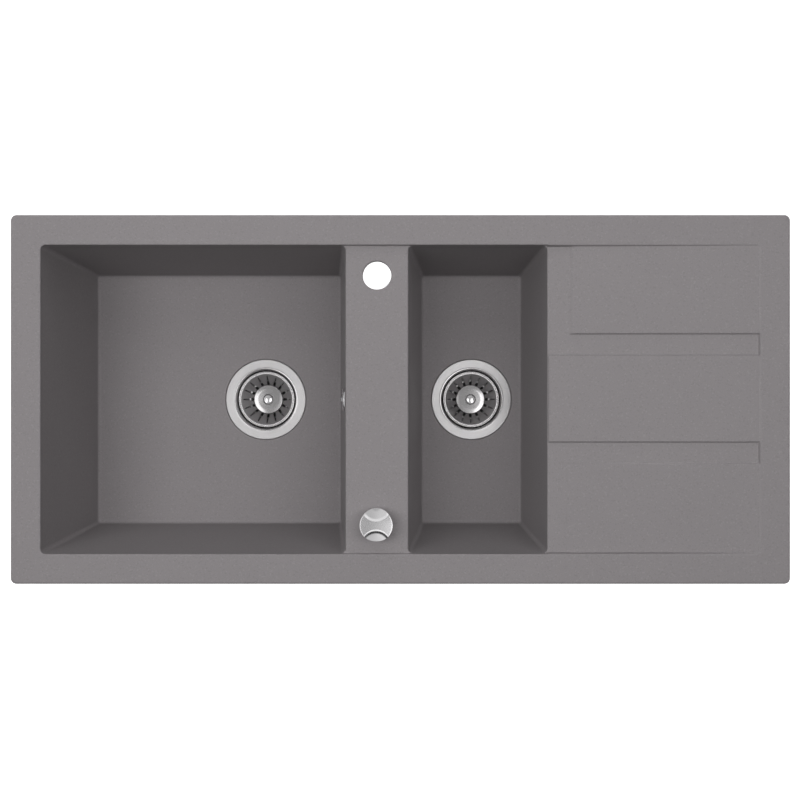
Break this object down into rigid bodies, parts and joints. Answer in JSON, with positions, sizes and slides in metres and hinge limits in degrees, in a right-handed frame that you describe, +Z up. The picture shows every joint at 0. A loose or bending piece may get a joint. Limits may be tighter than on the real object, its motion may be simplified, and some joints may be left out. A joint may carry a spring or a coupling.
{
  "type": "one and a half bowl sink",
  "caption": "Inset kitchen sink with a large and a small bowl, a stepped drainer, lift-out basket strainers, a wall overflow and a rotary control that raises the main basket.",
  "frame": {"origin": "plan centre of the rim's underside, the face that lies on the worktop", "axes": "+X along the sink's length towards the drainer, +Y towards the back edge with the tap hole, +Z up"},
  "size_m": [0.95, 0.45, 0.3203],
  "materials": {
    "composite": "matte warm grey quartz composite",
    "cup_steel": "brushed in circles",
    "basket_steel": "bright pressed stainless steel",
    "chrome": "polished",
    "plain_steel": "machined",
    "brass": "machined",
    "rubber": "matte black",
    "black_plastic": "moulded black polypropylene",
    "grey_plastic": "soft grey corrugated hose",
    "white_plastic": "natural acetal",
    "cable_black": "black cable sheath"
  },
  "bodies": {
    "root": {"sink_body": "composite", "main_strainer_cup": "cup_steel", "main_flange_seal": "rubber", "main_waste_body": "black_plastic", "main_body_gasket": "rubber", "main_centre_screw": "plain_steel", "main_insert_nut": "brass", "lift_gland_nut": "black_plastic", "lift_gland_ring": "rubber", "lift_cover": "black_plastic", "half_strainer_cup": "cup_steel", "half_flange_seal": "rubber", "half_waste_body": "black_plastic", "half_body_gasket": "rubber", "half_centre_screw": "plain_steel", "half_insert_nut": "brass", "overflow_rosette": "chrome", "overflow_screw": "plain_steel", "overflow_gasket": "rubber", "overflow_elbow": "black_plastic", "overflow_hose": "grey_plastic", "overflow_hose_nuts": "black_plastic", "control_base": "chrome", "control_base_seal": "rubber", "control_washer": "rubber", "control_nut": "brass", "control_housing": "black_plastic", "control_cable": "cable_black"},
    "control": {"control_knob": "chrome", "control_grub_screw": "plain_steel", "control_spindle": "plain_steel", "control_drum": "white_plastic"},
    "lift_pin": {"main_lift_pin": "plain_steel"},
    "lift_rocker": {"lift_shaft": "plain_steel", "lift_crank": "plain_steel"},
    "main_strainer": {"main_basket": "basket_steel", "main_basket_cap": "chrome", "main_basket_button": "chrome", "main_basket_seal": "rubber"},
    "half_strainer": {"half_basket": "basket_steel", "half_basket_cap": "chrome", "half_basket_button": "chrome", "half_basket_seal": "rubber", "half_basket_stem": "plain_steel"}
  },
  "joints": [
    {"name": "control_turn", "type": "hinge", "parent": "root", "child": "control", "pos_m": [-0.02875, -0.151, 0.006], "axis": [0, 0, 1], "range_deg": [0, 90]},
    {"name": "pin_lift", "type": "slide", "parent": "root", "child": "lift_pin", "axis": [0, 0, 1], "range_m": [0, 0.008]},
    {"name": "rocker_turn", "type": "hinge", "parent": "root", "child": "lift_rocker", "pos_m": [-0.1705, 0, -0.2486], "axis": [0, 1, 0], "range_deg": [0, 23.07]},
    {"name": "main_basket_lift_out", "type": "slide", "parent": "lift_pin", "child": "main_strainer", "axis": [0, 0, 1], "range_m": [0, 0.1]},
    {"name": "half_basket_lift_out", "type": "slide", "parent": "root", "child": "half_strainer", "axis": [0, 0, 1], "range_m": [0, 0.1]}
  ],
  "couplings": [
    {"joint": "pin_lift", "follows": "control_turn", "m_per_rad": 0.00509},
    {"joint": "rocker_turn", "follows": "control_turn", "ratio": 0.2563}
  ]
}
